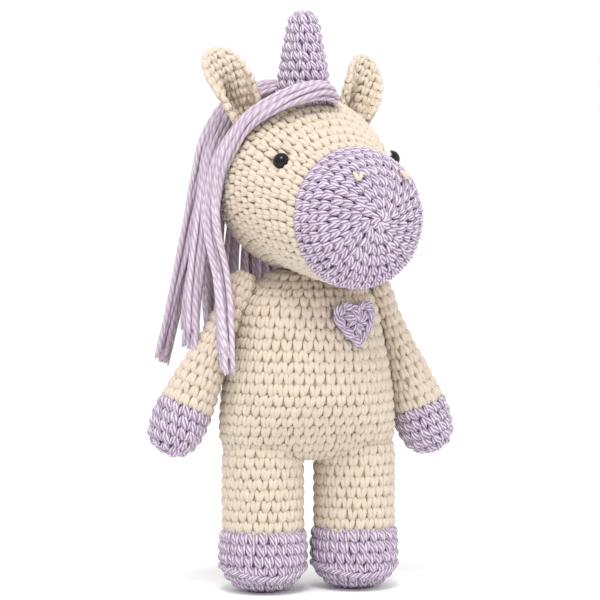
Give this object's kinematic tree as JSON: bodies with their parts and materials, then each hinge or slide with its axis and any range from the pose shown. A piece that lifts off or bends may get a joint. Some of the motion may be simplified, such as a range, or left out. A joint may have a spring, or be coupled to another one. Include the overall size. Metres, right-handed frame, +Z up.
{
  "type": "plush unicorn",
  "caption": "Standing crocheted unicorn doll with a turning head, swinging arms and legs, foldable ears, a stuffed horn and a mane of loose yarn.",
  "frame": {"origin": "on the floor, under the middle of the whole outline", "axes": "+Z up, -Y is where the doll's body faces, +X is the doll's left"},
  "size_m": [0.1544, 0.1252, 0.274],
  "materials": {
    "cream_yarn": "matte crocheted acrylic yarn",
    "lilac_yarn": "matte crocheted acrylic yarn",
    "mane_yarn": "loose twisted acrylic yarn",
    "stuffing": "loose polyester fibre",
    "eye_black": "polished",
    "washer_plastic": "satin"
  },
  "bodies": {
    "torso": {"torso_cover": "cream_yarn", "torso_stuffing": "stuffing", "heart_patch": "lilac_yarn"},
    "neck": {"neck_seam": "cream_yarn"},
    "head": {"head_cover": "cream_yarn", "muzzle_cover": "lilac_yarn", "head_stuffing": "stuffing", "right_eye": "eye_black", "left_eye": "eye_black", "right_eye_washer": "washer_plastic", "left_eye_washer": "washer_plastic", "right_nostril_stitch": "cream_yarn", "left_nostril_stitch": "cream_yarn", "horn_cover": "lilac_yarn", "horn_stuffing": "stuffing", "crown_mane": "mane_yarn", "forelock": "mane_yarn"},
    "right_ear": {"right_ear": "cream_yarn"},
    "left_ear": {"left_ear": "cream_yarn"},
    "front_lock": {"front_mane_lock": "mane_yarn"},
    "side_lock": {"side_mane_lock": "mane_yarn"},
    "back_lock": {"right_back_mane_lock": "mane_yarn", "middle_back_mane_lock": "mane_yarn", "left_back_mane_lock": "mane_yarn"},
    "tail": {"tail": "mane_yarn"},
    "right_shoulder": {"right_shoulder_seam": "cream_yarn"},
    "right_arm": {"right_arm_cover": "cream_yarn", "right_hand_cover": "lilac_yarn", "right_arm_stuffing": "stuffing"},
    "right_leg": {"right_leg_cover": "cream_yarn", "right_foot_cover": "lilac_yarn", "right_leg_stuffing": "stuffing"},
    "left_shoulder": {"left_shoulder_seam": "cream_yarn"},
    "left_arm": {"left_arm_cover": "cream_yarn", "left_hand_cover": "lilac_yarn", "left_arm_stuffing": "stuffing"},
    "left_leg": {"left_leg_cover": "cream_yarn", "left_foot_cover": "lilac_yarn", "left_leg_stuffing": "stuffing"}
  },
  "joints": [
    {"name": "head_turn", "type": "hinge", "parent": "torso", "child": "neck", "pos_m": [0, 0.003, 0.147], "axis": [0, 0, 1], "range_deg": [-50, 30], "stiffness_Nm_per_rad": 0.05},
    {"name": "head_nod", "type": "hinge", "parent": "neck", "child": "head", "pos_m": [0, 0.003, 0.15], "axis": [-0.9455, -0.3256, 0], "range_deg": [-2, 12], "stiffness_Nm_per_rad": 0.6, "deforming": ["front_mane_lock", "side_mane_lock", "right_back_mane_lock", "middle_back_mane_lock", "left_back_mane_lock"]},
    {"name": "front_lock_swing", "type": "hinge", "parent": "head", "child": "front_lock", "pos_m": [-0.04551, 0.00002, 0.171], "axis": [-0.3256, 0.9455, 0], "range_deg": [0, 25]},
    {"name": "side_lock_swing", "type": "hinge", "parent": "head", "child": "side_lock", "pos_m": [-0.03964, 0.01368, 0.222], "axis": [0.3671, 0.9302, 0], "range_deg": [0, 20]},
    {"name": "back_lock_swing", "type": "hinge", "parent": "head", "child": "back_lock", "pos_m": [-0.01628, 0.05028, 0.178], "axis": [0.9455, 0.3256, 0], "range_deg": [0, 40]},
    {"name": "tail_swing", "type": "hinge", "parent": "torso", "child": "tail", "pos_m": [0, 0.052, 0.082], "axis": [1, 0, 0], "range_deg": [0, 40]},
    {"name": "right_arm_swing", "type": "hinge", "parent": "torso", "child": "right_shoulder", "pos_m": [-0.034, 0.003, 0.141], "axis": [-1, 0, 0], "range_deg": [-35, 75], "stiffness_Nm_per_rad": 0.01},
    {"name": "right_arm_lift", "type": "hinge", "parent": "right_shoulder", "child": "right_arm", "pos_m": [-0.034, 0.003, 0.141], "axis": [0, 1, 0], "range_deg": [0, 75], "stiffness_Nm_per_rad": 0.01},
    {"name": "right_hip", "type": "hinge", "parent": "torso", "child": "right_leg", "pos_m": [-0.0225, 0.003, 0.068], "axis": [-1, 0, 0], "range_deg": [-15, 30], "stiffness_Nm_per_rad": 1},
    {"name": "right_ear_fold", "type": "hinge", "parent": "head", "child": "right_ear", "pos_m": [-0.03299, -0.00413, 0.22652], "axis": [0.8425, 0.2901, 0.454], "range_deg": [-20, 20], "stiffness_Nm_per_rad": 0.02},
    {"name": "left_arm_swing", "type": "hinge", "parent": "torso", "child": "left_shoulder", "pos_m": [0.034, 0.003, 0.141], "axis": [-1, 0, 0], "range_deg": [-35, 75], "stiffness_Nm_per_rad": 0.01},
    {"name": "left_arm_lift", "type": "hinge", "parent": "left_shoulder", "child": "left_arm", "pos_m": [0.034, 0.003, 0.141], "axis": [0, -1, 0], "range_deg": [0, 75], "stiffness_Nm_per_rad": 0.01},
    {"name": "left_hip", "type": "hinge", "parent": "torso", "child": "left_leg", "pos_m": [0.0225, 0.003, 0.068], "axis": [-1, 0, 0], "range_deg": [-15, 30], "stiffness_Nm_per_rad": 1},
    {"name": "left_ear_fold", "type": "hinge", "parent": "head", "child": "left_ear", "pos_m": [0.03039, 0.01769, 0.22652], "axis": [0.8425, 0.2901, -0.454], "range_deg": [-20, 20], "stiffness_Nm_per_rad": 0.02}
  ]
}
